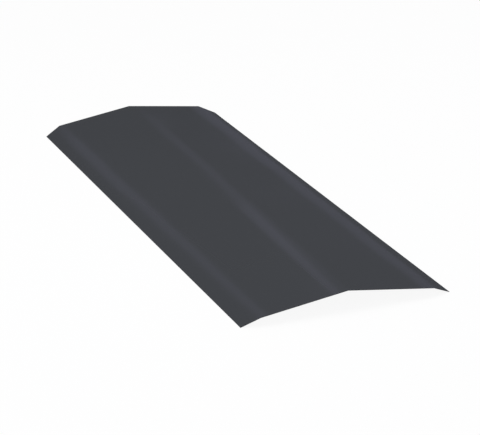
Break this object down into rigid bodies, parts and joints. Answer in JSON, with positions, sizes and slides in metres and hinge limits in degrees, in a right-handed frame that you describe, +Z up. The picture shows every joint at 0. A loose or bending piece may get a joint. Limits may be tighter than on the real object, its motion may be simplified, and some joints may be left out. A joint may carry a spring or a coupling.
{
  "type": "roof ridge cap",
  "caption": "Low-pitched roof ridge capping folded from one strip of coated steel sheet, with two flat wings and a down-turned drip lip along each edge.",
  "frame": {"origin": "under the middle of the ridge, on the level that the two lip edges rest on", "axes": "+X across the roof, +Y along the ridge, +Z up"},
  "size_m": [0.304, 1, 0.031],
  "materials": {
    "coated_steel": "satin"
  },
  "bodies": {
    "root": {"ridge_cap": "coated_steel"}
  },
  "joints": []
}
